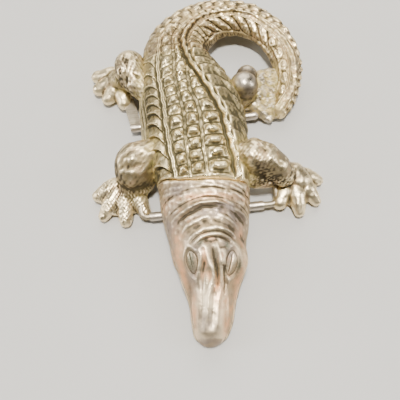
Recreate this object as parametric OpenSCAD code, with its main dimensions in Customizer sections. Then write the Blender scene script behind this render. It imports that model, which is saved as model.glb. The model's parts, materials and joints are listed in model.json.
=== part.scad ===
// Alligator hair clip: a hollow silver casting of an alligator, with a snap clasp underneath.
// Millimetres. +Z is up, the snout points along -Y, and the feet rest on z = 0.
// Left is the -X side and right is the +X side, as seen with the snout towards the viewer.

/* [Casting] */
// Width of the torso at its widest
torso_w = 26.6; // [24:0.2:28]
// Height of the back above the resting surface
back_h = 16; // [15:0.25:18]
// Height of the torso's flat underside
belly_z = 6.5; // [6.2:0.1:7]
// Wall of the hollow castings
wall = 1.2; // [0.8:0.1:1.5]

/* [Bars] */
// Outside diameter of the hinge bar and of the catch sleeve
bar_d = 2.2; // [1.9:0.1:2.3]
// Diameter of the wire inside the catch sleeve
wire_d = 1.5; // [1.2:0.1:1.6]
// Height of both bars' centre lines
bar_z = 2.3; // [2.2:0.05:2.5]
// Distance between the two bars
bar_gap = 26.6; // [25:0.2:27]
// Position of the catch bar along the body
catch_y = -14.9; // [-15.4:0.1:-14.4]

/* [Clasp] */
// Width of the tongue
tongue_w = 8; // [7:0.5:9]
// Thickness of the tongue
tongue_t = 0.9; // [0.7:0.1:1]
// Radial running clearance of the knuckle on the hinge bar
hinge_fit = 0.05; // [0.03:0.01:0.09]
// Gap between the snap claw and the catch sleeve
claw_fit = 0.15; // [0.12:0.01:0.2]
// Thickness of the tension spring
spring_t = 0.4; // [0.3:0.05:0.5]
// Rise of the tension spring's bow
spring_rise = 0.4; // [0.2:0.05:0.45]

/* [Back plate] */
// Thickness of the plate that closes the torso
plate_t = 0.9; // [0.7:0.1:1.2]
// Diameter of the two vent holes
vent_d = 4; // [3:0.5:5]

/* [Hidden] */

bar_r = bar_d / 2;
hinge_y = catch_y + bar_gap;
clasp_x = -1.4;

// Brings the origin to the middle of the resting footprint
FRAME_SHIFT = [-0.5, -2.2, 0];

// Stations along the body's centre line, from the snout to the tail's tip:
// x, y, half width, top height, underside height.
// They are given for this torso width, back height and belly height, and scale with the real ones.
STATION_W = 26.6;
STATION_BACK = 16;
STATION_BELLY = 6.5;
width_k = torso_w / STATION_W;
rise_k = (back_h - belly_z) / (STATION_BACK - STATION_BELLY);

HEAD = [
    [-3.1, -47.2, 2.5, 5.6, 2.0],
    [-2.9, -45.2, 3.5, 6.8, 1.5],
    [-2.4, -41.5, 4.4, 8.0, 1.6],
    [-1.9, -37.0, 5.3, 9.2, 2.0],
    [-1.6, -33.0, 6.6, 10.6, 2.4],
    [-1.3, -29.0, 8.0, 12.0, 2.9],
    [-1.3, -25.0, 8.8, 12.8, 3.4],
    [-1.1, -20.0, 9.8, 13.4, 4.1],
    [-0.9, -15.0, 10.7, 13.8, 4.9]
];

TORSO = [
    [-0.7, -9.4, 11.1, 14.2, 6.5],
    [-1.4, -3.0, 12.2, 15.4, 6.5],
    [-1.9, 3.0, 13.1, 16.0, 6.5],
    [-2.2, 9.0, 13.3, 16.0, 6.5],
    [-2.9, 15.0, 12.8, 15.6, 6.5],
    [-4.0, 21.0, 11.6, 14.8, 6.5],
    [-4.8, 27.0, 10.2, 13.6, 6.5]
];

TAIL = [
    [-4.9, 32.5, 8.9, 12.2, 4.6],
    [-3.2, 37.6, 8.2, 11.0, 3.6],
    [0.4, 42.0, 7.4, 10.0, 3.2],
    [6.0, 45.0, 6.6, 9.2, 3.8],
    [13.2, 45.2, 5.8, 8.6, 4.2],
    [19.3, 42.4, 5.2, 8.0, 4.0],
    [23.6, 37.6, 4.6, 7.4, 3.8],
    [25.7, 31.6, 4.1, 6.8, 3.4],
    [26.0, 25.5, 3.7, 6.2, 2.4],
    [25.0, 19.8, 3.2, 5.6, 1.4],
    [23.0, 14.6, 2.5, 5.0, 1.1],
    [20.9, 10.9, 1.5, 4.2, 1.6]
];

BODY = concat(HEAD, TORSO, TAIL);
NECK = len(HEAD);
HIPS = NECK + len(TORSO) - 1;
TAIL_TIP = len(BODY) - 1;

SECTION_POINTS = 18;
STEPS = 3;

// A point of the smooth curve through the body's stations, at t from 0 to TAIL_TIP
function at(t) =
    let (
        last = TAIL_TIP,
        i = min(floor(t), last - 1),
        f = t - i,
        a = BODY[max(i - 1, 0)],
        b = BODY[i],
        c = BODY[i + 1],
        d = BODY[min(i + 2, last)]
    )
    b + 0.5 * f * ((c - a) + f * ((2 * a - 5 * b + 4 * c - d) + f * (3 * (b - c) + d - a)));

// Unit vector across the body at t, level and square to the centre line
function across(t) =
    let (
        p = at(max(t - 0.01, 0)),
        q = at(min(t + 0.01, TAIL_TIP)),
        d = [q[0] - p[0], q[1] - p[1]]
    )
    [d[1], -d[0]] / norm(d);

// Arch-shaped section with a flat foot, moved in by inset and down below its foot by drop
function arch(t, inset, drop) =
    let (
        s = at(t),
        n = across(t),
        w = max(s[2] * width_k - inset, 0.3),
        foot = min(s[4], STATION_BELLY) * belly_z / STATION_BELLY,
        rise = max((s[3] - s[4]) * rise_k - inset, 0.3)
    )
    [
        for (k = [0 : SECTION_POINTS])
            let (
                a = 180 * k / SECTION_POINTS,
                u = w * sign(cos(a)) * pow(abs(cos(a)), 0.85),
                z = foot + rise * pow(sin(a), 0.9)
            )
            [s[0] + n[0] * u, s[1] + n[1] * u, (k == 0 || k == SECTION_POINTS) ? foot - drop : z]
    ];

// Solid swept through the arch sections from t0 to t1
module arch_loft(t0, t1, inset = 0, drop = 0) {
    rings = ceil((t1 - t0) * STEPS);
    n = SECTION_POINTS + 1;
    points = [
        for (i = [0 : rings])
            each arch(t0 + (t1 - t0) * i / rings, inset, drop)
    ];
    sides = [
        for (i = [0 : rings - 1])
            for (k = [0 : n - 1])
                [i * n + k, i * n + (k + 1) % n, (i + 1) * n + (k + 1) % n, (i + 1) * n + k]
    ];
    first = [for (k = [n - 1 : -1 : 0]) k];
    last = [for (k = [0 : n - 1]) rings * n + k];
    polyhedron(points, concat(sides, [first, last]), convexity = 6);
}

// Puts a piece into the part's frame
module placed() {
    translate(FRAME_SHIFT)
        children();
}

// Everything under the resting surface, to be cut away
module below_floor() {
    translate([-100, -100, -20])
        cube([200, 200, 20]);
}

// Rounded limb through a list of [centre, radius] balls
module limb(balls) {
    hull() {
        for (b = balls) {
            translate(b[0])
                sphere(r = b[1], $fn = 24);
        }
    }
}

TOE_BASE_R = 2.2;
TOE_BASE_Z = 2.4;
TOE_SINK = 0.1;

// One toe from its base to its tip, [x, y, radius], round on top and flat underneath
module toe(base, tip) {
    hull() {
        translate([base[0], base[1], TOE_BASE_Z])
            sphere(r = TOE_BASE_R, $fn = 16);
        translate([tip[0], tip[1], tip[2] - TOE_SINK])
            sphere(r = tip[2], $fn = 16);
    }
}

// A leg: its limb stretches and its toes, let into the body between t0 and t1
module leg(limbs, toes, t0, t1) {
    difference() {
        union() {
            for (balls = limbs) {
                limb(balls);
            }
            for (t = toes) {
                toe(t[0], t[1]);
            }
        }
        arch_loft(t0, t1);
        below_floor();
    }
}

// Plate across the body, parallel to YZ, as thick as thickness and centred on x
module plate_across(x, thickness) {
    translate([x - thickness / 2, 0, 0])
        rotate([90, 0, 90])
            linear_extrude(thickness)
                children();
}

// Round bar along X between x0 and x1
module bar_along_x(x0, x1, y, z, r) {
    translate([x0, y, z])
        rotate([0, 90, 0])
            cylinder(h = x1 - x0, r = r, $fn = 48);
}

module torso_shell() {
    color([0.62, 0.61, 0.56])
        placed()
            difference() {
                arch_loft(NECK, HIPS);
                arch_loft(NECK + 0.25, HIPS - 0.25, wall, 1);
            }
}

module head_shell() {
    color([0.66, 0.6, 0.58])
        placed()
            difference() {
                arch_loft(0, NECK);
                arch_loft(1.4, NECK - 0.25, wall, 2);
            }
}

module tail() {
    color([0.63, 0.61, 0.55])
        placed()
            difference() {
                arch_loft(HIPS, TAIL_TIP);
                arch_loft(HIPS + 0.25, TAIL_TIP - 2, wall, 3);
            }
}

module leg_front_left() {
    color([0.64, 0.62, 0.57])
        placed()
            leg(
                limbs = [
                    [[[-11.5, -1.0, 10.0], 3.6], [[-17.3, -2.9, 8.6], 5.0]],
                    [[[-17.6, -4.4, 5.6], 4.2], [[-20.0, -8.0, 3.0], 3.0]]
                ],
                toes = [
                    [[-22.6, -7.0], [-27.8, -8.2, 1.3]],
                    [[-22.0, -7.8], [-26.4, -13.4, 1.2]],
                    [[-20.7, -8.4], [-20.7, -15.8, 1.3]],
                    [[-17.8, -7.8], [-15.8, -13.8, 1.6]]
                ],
                t0 = NECK - 1,
                t1 = NECK + 3
            );
}

module leg_front_right() {
    color([0.64, 0.62, 0.57])
        placed()
            leg(
                limbs = [
                    [[[9.2, -5.4, 9.6], 3.9], [[12.1, -6.4, 9.8], 4.0], [[15.0, -6.9, 9.6], 3.8]],
                    [[[15.0, -6.9, 9.2], 3.7], [[18.2, -8.4, 8.0], 3.5], [[20.4, -9.4, 4.4], 3.0]],
                    [[[9.6, -8.0, 6.4], 3.3], [[14.4, -8.8, 5.6], 2.8]]
                ],
                toes = [
                    [[22.0, -8.2], [28.3, -10.0, 1.2]],
                    [[22.4, -9.2], [26.3, -15.1, 1.2]],
                    [[21.6, -10.2], [22.1, -17.6, 1.2]],
                    [[19.2, -10.4], [17.4, -14.9, 1.9]]
                ],
                t0 = NECK - 1,
                t1 = NECK + 3
            );
}

module leg_rear_left() {
    color([0.64, 0.62, 0.57])
        placed()
            leg(
                limbs = [
                    [[[-13.4, 18.6, 8.6], 3.0], [[-15.5, 22.2, 8.8], 3.8], [[-17.0, 27.4, 9.0], 4.3]],
                    [[[-17.6, 25.6, 6.0], 3.6], [[-21.6, 27.2, 3.0], 3.0]]
                ],
                toes = [
                    [[-22.0, 30.0], [-27.9, 30.2, 1.6]],
                    [[-22.4, 28.0], [-27.6, 26.2, 1.6]],
                    [[-22.0, 26.2], [-24.8, 22.8, 1.6]],
                    [[-20.8, 24.4], [-20.6, 20.6, 1.6]]
                ],
                t0 = HIPS - 3,
                t1 = HIPS + 2
            );
}

module leg_rear_right() {
    color([0.66, 0.65, 0.62])
        placed()
            leg(
                limbs = [
                    [[[7.4, 16.5, 6.4], 2.8], [[11.0, 17.2, 6.8], 3.2]],
                    [[[12.3, 17.6, 8.0], 3.8], [[13.8, 21.3, 8.0], 2.9]],
                    [[[12.3, 17.6, 7.0], 3.7], [[13.4, 18.0, 3.0], 3.0]]
                ],
                toes = [
                    [[14.5, 19.0], [21.6, 24.0, 1.7]],
                    [[15.5, 18.6], [22.4, 20.4, 1.7]],
                    [[15.5, 18.0], [22.0, 16.4, 1.7]],
                    [[14.5, 17.4], [19.4, 12.4, 1.6]]
                ],
                t0 = HIPS - 3,
                t1 = TAIL_TIP
            );
}

// Half outline of the back plate: points along one side of the torso's inside
function plate_edge(side) = [
    for (i = [0 : 16])
        let (
            t = NECK + 0.25 + (HIPS - NECK - 0.5) * i / 16,
            s = at(t),
            n = across(t),
            w = side * (s[2] * width_k - wall)
        )
        [s[0] + n[0] * w, s[1] + n[1] * w]
];

module back_plate() {
    left = plate_edge(-1);
    right = plate_edge(1);
    color([0.58, 0.57, 0.54])
        placed()
            translate([0, 0, belly_z])
                difference() {
                    linear_extrude(plate_t)
                        polygon(concat(left, [for (i = [len(right) - 1 : -1 : 0]) right[i]]));
                    for (t = [NECK + 1, HIPS - 1]) {
                        translate([at(t)[0], at(t)[1], -1])
                            cylinder(h = plate_t + 2, d = vent_d, $fn = 40);
                    }
                }
}

// Catch wire: a straight stretch inside the sleeve, and an elbow up into each forefoot
WIRE_LEFT_X = -15.0;
WIRE_RIGHT_X = 15.2;
SLEEVE_LEFT_X = -14.6;
SLEEVE_RIGHT_X = 13.4;
ELBOW_R = 1.6;
ELBOW_RISE = 15;
ELBOW_END = 4.2;

// Quarter bend from the end of the straight wire, and its end stretch; side is -1 or 1
module elbow(x, side) {
    translate([x, catch_y, bar_z])
        rotate([ELBOW_RISE, 0, 0])
            mirror([side < 0 ? 1 : 0, 0, 0]) {
                translate([0, ELBOW_R, 0])
                    rotate([0, 0, -90])
                        rotate_extrude(angle = 90, $fn = 48)
                            translate([ELBOW_R, 0])
                                circle(d = wire_d, $fn = 32);
                translate([ELBOW_R, ELBOW_R, 0])
                    rotate([-90, 0, 0])
                        cylinder(h = ELBOW_END, d = wire_d, $fn = 48);
            }
}

module front_bar() {
    color([0.6, 0.6, 0.58])
        placed() {
            bar_along_x(WIRE_LEFT_X, WIRE_RIGHT_X, catch_y, bar_z, wire_d / 2);
            elbow(WIRE_LEFT_X, -1);
            elbow(WIRE_RIGHT_X, 1);
        }
}

module front_bar_sleeve() {
    color([0.66, 0.65, 0.62])
        placed()
            difference() {
                bar_along_x(SLEEVE_LEFT_X, SLEEVE_RIGHT_X, catch_y, bar_z, bar_r);
                bar_along_x(WIRE_LEFT_X - 1, WIRE_RIGHT_X + 1, catch_y, bar_z, wire_d / 2);
            }
}

REAR_BAR_LEFT_X = -18.4;
REAR_BAR_RIGHT_X = 15.0;

module rear_bar() {
    color([0.66, 0.65, 0.62])
        placed() {
            bar_along_x(REAR_BAR_LEFT_X, REAR_BAR_RIGHT_X, hinge_y, bar_z, bar_r);
            translate([REAR_BAR_RIGHT_X, hinge_y, bar_z])
                sphere(r = bar_r, $fn = 48);
        }
}

// Flat strap from the hinge bar's left end back to the left hind foot
STRAP_L = 9.6;
STRAP_W = 3;
STRAP_T = 0.8;

module rear_bar_strap() {
    color([0.55, 0.54, 0.5])
        placed()
            difference() {
                translate([REAR_BAR_LEFT_X + STRAP_W / 2, hinge_y, bar_z])
                    rotate([0, 0, 12])
                        translate([-STRAP_W / 2, 0, -STRAP_T / 2])
                            cube([STRAP_W, STRAP_L, STRAP_T]);
                bar_along_x(REAR_BAR_LEFT_X - 2, REAR_BAR_RIGHT_X, hinge_y, bar_z, bar_r);
            }
}

EAR_T = 1.4;
EAR_R = 2.1;
KNUCKLE_L = 11.6;
EAR_GAP = 0.2;

module hinge_ear(side) {
    color([0.58, 0.57, 0.54])
        placed()
            plate_across(clasp_x + side * (KNUCKLE_L / 2 + EAR_GAP + EAR_T / 2), EAR_T)
                difference() {
                    union() {
                        translate([hinge_y, bar_z])
                            circle(r = EAR_R, $fn = 48);
                        translate([hinge_y - EAR_R, bar_z])
                            square([2 * EAR_R, belly_z - bar_z]);
                    }
                    translate([hinge_y, bar_z])
                        circle(r = bar_r, $fn = 48);
                }
}

module hinge_ear_left() {
    hinge_ear(-1);
}

module hinge_ear_right() {
    hinge_ear(1);
}

knuckle_r = bar_r + hinge_fit + 0.7;
claw_in_r = bar_r + claw_fit;
claw_out_r = claw_in_r + 0.65;
tongue_z = bar_z - knuckle_r;
tongue_top = tongue_z + tongue_t;
SPRING_L = 17;
SPRING_W = 5.5;
SPRING_FOOT = 2.2;
RIVET_R = 0.5;
RIVET_HEAD_R = 0.95;
RIVET_HEAD_T = 0.35;
spring_y = (catch_y + hinge_y) / 2;
rivet_ys = [spring_y - SPRING_L / 2 + SPRING_FOOT / 2, spring_y + SPRING_L / 2 - SPRING_FOOT / 2];

module clasp_tongue() {
    color([0.6, 0.59, 0.56])
        placed()
            difference() {
                translate([clasp_x - tongue_w / 2, catch_y, tongue_z])
                    cube([tongue_w, bar_gap, tongue_t]);
                bar_along_x(clasp_x - tongue_w, clasp_x + tongue_w, catch_y, bar_z, claw_out_r);
                bar_along_x(clasp_x - tongue_w, clasp_x + tongue_w, hinge_y, bar_z, knuckle_r);
                for (y = rivet_ys) {
                    translate([clasp_x, y, tongue_z - 1])
                        cylinder(h = tongue_t + 2, r = RIVET_R, $fn = 32);
                }
            }
}

module clasp_knuckle() {
    color([0.62, 0.61, 0.58])
        placed()
            difference() {
                bar_along_x(clasp_x - KNUCKLE_L / 2, clasp_x + KNUCKLE_L / 2, hinge_y, bar_z, knuckle_r);
                bar_along_x(clasp_x - KNUCKLE_L, clasp_x + KNUCKLE_L, hinge_y, bar_z, bar_r + hinge_fit);
            }
}

CLAW_LIP = 1.3;

module snap_claw() {
    color([0.62, 0.61, 0.58])
        placed()
            plate_across(clasp_x, tongue_w)
                translate([catch_y, bar_z])
                    difference() {
                        union() {
                            circle(r = claw_out_r, $fn = 48);
                            translate([-claw_out_r, 0])
                                square([2 * claw_out_r, CLAW_LIP]);
                        }
                        circle(r = claw_in_r, $fn = 48);
                        translate([-claw_in_r, 0])
                            square([2 * claw_in_r, 2 * CLAW_LIP]);
                    }
}

TAB_L = 6.5;
TAB_END_R = 1;

module thumb_tab() {
    tip_y = catch_y - claw_out_r - TAB_L + TAB_END_R;
    color([0.6, 0.59, 0.56])
        placed()
            difference() {
                union() {
                    translate([clasp_x - tongue_w / 2, tip_y, tongue_z])
                        cube([tongue_w, catch_y - tip_y, tongue_t]);
                    bar_along_x(
                        clasp_x - tongue_w / 2, clasp_x + tongue_w / 2, tip_y, tongue_z + TAB_END_R, TAB_END_R
                    );
                }
                bar_along_x(clasp_x - tongue_w, clasp_x + tongue_w, catch_y, bar_z, claw_out_r);
            }
}

// Height of the bowed spring's underside above the tongue, s from 0 to 1 between its feet
function bow(s) = spring_rise * (1 - cos(360 * s)) / 2;

module tension_spring() {
    y0 = spring_y - SPRING_L / 2;
    y1 = spring_y + SPRING_L / 2;
    span = SPRING_L - 2 * SPRING_FOOT;
    under = [for (i = [0 : 24]) [y0 + SPRING_FOOT + span * i / 24, bow(i / 24)]];
    lower_edge = concat([[y0, 0]], under, [[y1, 0]]);
    upper_edge = [for (i = [len(lower_edge) - 1 : -1 : 0]) lower_edge[i] + [0, spring_t]];
    color([0.7, 0.69, 0.66])
        placed()
            difference() {
                plate_across(clasp_x, SPRING_W)
                    translate([0, tongue_top])
                        polygon(concat(lower_edge, upper_edge));
                for (y = rivet_ys) {
                    translate([clasp_x, y, tongue_top - 1])
                        cylinder(h = spring_t + 2, r = RIVET_R, $fn = 32);
                }
            }
}

module spring_rivet(y) {
    color([0.72, 0.7, 0.66])
        placed()
            translate([clasp_x, y, tongue_z]) {
                cylinder(h = tongue_t + spring_t, r = RIVET_R, $fn = 32);
                translate([0, 0, tongue_t + spring_t])
                    cylinder(h = RIVET_HEAD_T, r = RIVET_HEAD_R, $fn = 32);
            }
}

module spring_rivet_front() {
    spring_rivet(rivet_ys[0]);
}

module spring_rivet_rear() {
    spring_rivet(rivet_ys[1]);
}

torso_shell();
head_shell();
tail();
leg_front_left();
leg_front_right();
leg_rear_left();
leg_rear_right();
back_plate();
front_bar();
front_bar_sleeve();
rear_bar();
rear_bar_strap();
hinge_ear_left();
hinge_ear_right();
clasp_tongue();
clasp_knuckle();
snap_claw();
thumb_tab();
tension_spring();
spring_rivet_front();
spring_rivet_rear();
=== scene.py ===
"""Looks for the alligator hair clip: a hollow cast silver alligator over a snap clasp.

Lengths are in millimetres until a mesh is made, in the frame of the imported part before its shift.
Left is the -X side and right is the +X side, as seen with the snout towards the viewer.
The body is one long skin. On it v runs along the spine from the snout to the tail's tip, and w runs
across it over the back, from the crest, with + to the right.
"""

import json
import math

import bpy
import numpy as np
from mathutils import Matrix, Vector
from mathutils.bvhtree import BVHTree


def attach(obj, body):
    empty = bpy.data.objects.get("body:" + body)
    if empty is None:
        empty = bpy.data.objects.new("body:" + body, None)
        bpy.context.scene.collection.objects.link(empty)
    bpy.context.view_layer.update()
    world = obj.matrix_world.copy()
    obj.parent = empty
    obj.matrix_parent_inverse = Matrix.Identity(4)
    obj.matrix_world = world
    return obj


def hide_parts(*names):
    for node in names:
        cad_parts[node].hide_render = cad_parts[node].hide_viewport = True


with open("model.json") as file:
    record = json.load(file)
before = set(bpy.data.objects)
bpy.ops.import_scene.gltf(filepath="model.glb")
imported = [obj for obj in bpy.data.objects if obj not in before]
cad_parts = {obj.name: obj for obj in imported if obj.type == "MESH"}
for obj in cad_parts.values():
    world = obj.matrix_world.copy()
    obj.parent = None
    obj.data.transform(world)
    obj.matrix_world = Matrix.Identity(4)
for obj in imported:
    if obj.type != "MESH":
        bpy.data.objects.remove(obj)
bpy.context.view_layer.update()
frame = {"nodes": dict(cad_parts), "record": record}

MM = 0.001
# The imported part's shift, the height of the torso's flat underside, the castings' wall, the number of
# points across their inside surface, and the height of the feet's soles
SHIFT = np.array([-0.5, -2.2, 0.0])
BELLY_Z = 6.5
WALL = 1.2
INNER_COLUMNS = 29
FEET_Z = 0.02

# The spine's stations: x, y, half width, top height, underside height
STATIONS = np.array([
    [-3.1, -47.2, 2.5, 5.6, 2.0],
    [-2.9, -45.2, 3.5, 6.8, 1.5],
    [-2.4, -41.5, 4.4, 8.0, 1.6],
    [-1.9, -37.0, 5.3, 9.2, 2.0],
    [-1.6, -33.0, 6.6, 10.6, 2.4],
    [-1.3, -29.0, 8.0, 12.0, 2.9],
    [-1.3, -25.0, 8.8, 12.8, 3.4],
    [-1.1, -20.0, 9.8, 13.4, 4.1],
    [-0.9, -15.0, 10.7, 13.8, 4.9],
    [-0.7, -9.4, 11.1, 14.2, 6.5],
    [-1.4, -3.0, 12.2, 15.4, 6.5],
    [-1.9, 3.0, 13.1, 16.0, 6.5],
    [-2.2, 9.0, 13.3, 16.0, 6.5],
    [-2.9, 15.0, 12.8, 15.6, 6.5],
    [-4.0, 21.0, 11.6, 14.8, 6.5],
    [-4.8, 27.0, 10.2, 13.6, 6.5],
    [-4.9, 32.5, 8.9, 12.2, 4.6],
    [-3.2, 37.6, 8.2, 11.0, 3.6],
    [0.4, 42.0, 7.4, 10.0, 3.2],
    [6.0, 45.0, 6.6, 9.2, 3.8],
    [13.2, 45.2, 5.8, 8.6, 4.2],
    [19.3, 42.4, 5.2, 8.0, 4.0],
    [23.6, 37.6, 4.6, 7.4, 3.8],
    [25.7, 31.6, 4.1, 6.8, 3.4],
    [26.0, 25.5, 3.7, 6.2, 2.4],
    [25.0, 19.8, 3.2, 5.6, 1.4],
    [23.0, 14.6, 2.5, 5.0, 1.1],
    [20.9, 10.9, 1.5, 4.2, 1.6],
])

# Places along the spine, as distances v: the torso's edge over the neck, the neck's end under it, and the
# cut between torso and tail. Then the lengths of the body's two round ends
LIP_V = 34.9
NECK_V = 37.9
HIPS_V = 74.57
SNOUT_CAP = 2.8
TAIL_CAP = 1.6


# ---- small tools

def smooth(x, low, high):
    """0 below low and 1 above high, with a soft step between."""
    s = np.clip((x - low) / (high - low), 0, 1)
    return s * s * (3 - 2 * s)


def drop(x, low, high):
    """1 below low and 0 above high, with a soft step between."""
    return 1 - smooth(x, low, high)


def band(x, low, full, still_full, high):
    """1 between full and still_full, and softly down to 0 at low and high."""
    return smooth(x, low, full) * drop(x, still_full, high)


def bell(x, width):
    """1 at x = 0, and softly down to 0 on either side of it."""
    return np.exp(-((x / width) ** 2))


def along(v, points):
    """The value at v of a line through (v, value) points."""
    return np.interp(v, [p[0] for p in points], [p[1] for p in points])


def stroke(v, w, points, width):
    """A bell-shaped ridge of height 1 that follows a line of (v, w) points and fades at its ends."""
    nearest, fraction = np.full(np.shape(v), 1e9), np.zeros(np.shape(v))
    count = len(points) - 1
    for k, ((v0, w0), (v1, w1)) in enumerate(zip(points, points[1:])):
        dv, dw = v1 - v0, w1 - w0
        s = np.clip(((v - v0) * dv + (w - w0) * dw) / (dv * dv + dw * dw), 0, 1)
        distance = np.hypot(v - v0 - s * dv, w - w0 - s * dw)
        closer = distance < nearest
        nearest = np.where(closer, distance, nearest)
        fraction = np.where(closer, (k + s) / count, fraction)
    return bell(nearest, width) * (0.25 + 0.75 * band(fraction, 0, 0.2, 0.8, 1))


def waves(seed, size, *coords):
    """A smooth random field, mostly between -1 and 1, with lumps about as big as size."""
    rng = np.random.default_rng(seed)
    total = 0
    for _ in range(9):
        direction = rng.normal(size=len(coords))
        direction *= 2 * math.pi / (size * rng.uniform(1.4, 3.0) * np.linalg.norm(direction))
        phase = rng.uniform(0, 2 * math.pi)
        total = total + np.sin(sum(d * c for d, c in zip(direction, coords)) + phase)
    return total / 4


# ---- the body's skin

def spine_at(t):
    """Smooth curve through the stations, at t from 0 to the last one."""
    last = len(STATIONS) - 1
    i = np.minimum(np.floor(t).astype(int), last - 1)
    f = (t - i)[..., None]
    a = STATIONS[np.maximum(i - 1, 0)]
    b = STATIONS[i]
    c = STATIONS[i + 1]
    d = STATIONS[np.minimum(i + 2, last)]
    return b + 0.5 * f * ((c - a) + f * ((2 * a - 5 * b + 4 * c - d) + f * (3 * (b - c) + d - a)))


SPINE = spine_at(np.linspace(0, len(STATIONS) - 1, 2701))
SPINE_STEP = np.diff(SPINE[:, :2], axis=0)
SPINE_V = np.concatenate([[0], np.cumsum(np.hypot(SPINE_STEP[:, 0], SPINE_STEP[:, 1]))])
SPINE_WAY = np.gradient(SPINE[:, :2], axis=0)
SPINE_WAY /= np.linalg.norm(SPINE_WAY, axis=1)[:, None]
TIP_V = SPINE_V[-1]


def arch(angle):
    """The body's section at arch angles: its reach to the right, -1 to 1, and its height, 0 to 1."""
    reach = np.sign(np.cos(angle)) * np.abs(np.cos(angle)) ** 0.85
    return reach, np.abs(np.sin(angle)) ** 0.9


def arch_angles(count):
    """Angles over the arch, from the right foot to the left one, evenly spaced over a middling section."""
    fine = np.linspace(0, math.pi, 721)
    reach, height = arch(fine)
    length = np.concatenate([[0], np.cumsum(np.hypot(np.diff(12 * reach), np.diff(8.6 * height)))])
    return np.interp(np.linspace(0, length[-1], count), length, fine)


def body_points(v, angle, inset=0.0):
    """Points of the plain body at places v and arch angles, moved in by inset.

    Near either end of the spine the section shrinks to a round cap.
    """
    x, y, half, top, foot = (np.interp(v, SPINE_V, SPINE[:, k]) for k in range(5))
    way_x, way_y = (np.interp(v, SPINE_V, SPINE_WAY[:, k]) for k in range(2))
    into_cap = np.maximum((SNOUT_CAP - v) / SNOUT_CAP, (v - TIP_V + TAIL_CAP) / TAIL_CAP)
    shrink = np.sqrt(np.clip(1 - np.clip(into_cap, 0, 1) ** 2.2, 0.0004, 1))
    foot_z = np.minimum(foot, BELLY_Z)
    middle = foot_z + 0.15 * (top - foot_z)
    reach, height = arch(angle)
    across = np.maximum(half - inset, 0.3) * reach * shrink
    z = foot_z + np.maximum(top - foot - inset, 0.3) * height
    z = middle + (z - middle) * shrink
    return np.stack([x + way_y * across, y - way_x * across, z], -1)


def grid_normals(points):
    """Unit normals of a grid of points."""
    down, over = np.gradient(points, axis=0), np.gradient(points, axis=1)
    normal = np.cross(down, over)
    return normal / np.maximum(np.linalg.norm(normal, axis=2), 1e-9)[..., None]


def distance_over_back(points):
    """w of each grid point: the distance over the back from the crest, + to the right."""
    step = np.linalg.norm(np.diff(points, axis=1), axis=2)
    length = np.concatenate([np.zeros((len(points), 1)), np.cumsum(step, axis=1)], 1)
    crest = length[:, points.shape[1] // 2][:, None]
    return crest - length


def shell_faces(rows, ring):
    """Quads of a tube of rows closed rings, and a fan at either end. The last two points are the fans'."""
    i, k = np.meshgrid(np.arange(rows - 1), np.arange(ring), indexing="ij")
    a, b = i * ring + k, i * ring + (k + 1) % ring
    quads = np.stack([a, a + ring, b + ring, b], -1).reshape(-1, 4).tolist()
    first, last = rows * ring, rows * ring + 1
    base = (rows - 1) * ring
    fans = [[first, j, (j + 1) % ring] for j in range(ring)]
    fans += [[last, base + (j + 1) % ring, base + j] for j in range(ring)]
    return quads + fans


def grid_on_body(v_grid, relief):
    """The displaced outer skin over a grid of v, as points, with its w and its relief."""
    angle = np.broadcast_to(arch_angles(v_grid.shape[1]), v_grid.shape)
    plain = body_points(v_grid, angle)
    w = distance_over_back(plain)
    height = relief(v_grid, w)
    return plain + grid_normals(plain) * height[..., None], w, height


def cast_shell(name, v_grid, outer, hollow_from, hollow_to, marks, nodes, slot):
    """A hollow casting, open below: an outer skin over v_grid, and a plain inside surface."""
    rows, columns = v_grid.shape
    inner_v = v_grid.mean(1)[:, None]
    inner = body_points(inner_v, np.linspace(math.pi, 0, INNER_COLUMNS), WALL)
    floor_z = body_points(inner_v, 0.0)[..., 2]
    is_hollow = band(inner_v, hollow_from, hollow_from + 0.3, hollow_to - 0.3, hollow_to)[..., None]
    edge = np.linspace(1, 0, INNER_COLUMNS)[:, None]
    flat = outer[:, -1:] * edge + outer[:, :1] * (1 - edge)
    flat[..., 2] = np.minimum(floor_z, flat[..., 2])
    inner = flat * (1 - is_hollow) + inner * is_hollow
    rings = np.concatenate([outer, inner], 1)
    ring = rings.shape[1]
    ends = np.stack([rings[0].mean(0), rings[-1].mean(0)])
    points = np.concatenate([rings.reshape(-1, 3), ends])
    on_skin = np.zeros(len(points), bool)
    on_skin[:rows * ring] = np.tile(np.arange(ring) < columns, rows)
    piece = new_piece(name, points, shell_faces(rows, ring), nodes, slot, on_skin=on_skin)
    sharpen_rings(piece.data, rows, ring)
    for mark, values in marks.items():
        column = np.zeros(len(points))
        column[on_skin] = values.ravel()
        write_attribute(piece.data, mark, column)
    return piece


def sharpen_rings(mesh, rows, ring):
    """Keeps the two end rings crisp, so that shading on the skin ignores the end walls."""
    edges = read_array(mesh.edges, "vertices", 2, np.int64)
    row = edges // ring
    on_end = (row[:, 0] == row[:, 1]) & ((row[:, 0] == 0) | (row[:, 0] == rows - 1))
    sharp = mesh.attributes.get("sharp_edge") or mesh.attributes.new("sharp_edge", "BOOLEAN", "EDGE")
    sharp.data.foreach_set("value", on_end)


# ---- meshes and their marks

def add_object(name, data):
    """A new object of the scene around its data."""
    obj = bpy.data.objects.new(name, data)
    bpy.context.scene.collection.objects.link(obj)
    return obj


def new_piece(name, points, faces, nodes, slot, body="ornament", on_skin=None):
    """A smooth mesh in the part's frame that rides on a body and stands for CAD nodes."""
    mesh = bpy.data.meshes.new(name)
    mesh.from_pydata(((points + SHIFT) * MM).tolist(), [], faces)
    mesh.update()
    obj = add_object(name, mesh)
    mesh.shade_smooth()
    mark_hollows(mesh, on_skin)
    mesh.materials.append(MATERIALS[slot])
    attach(obj, body)
    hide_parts(*nodes)
    return obj


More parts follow.
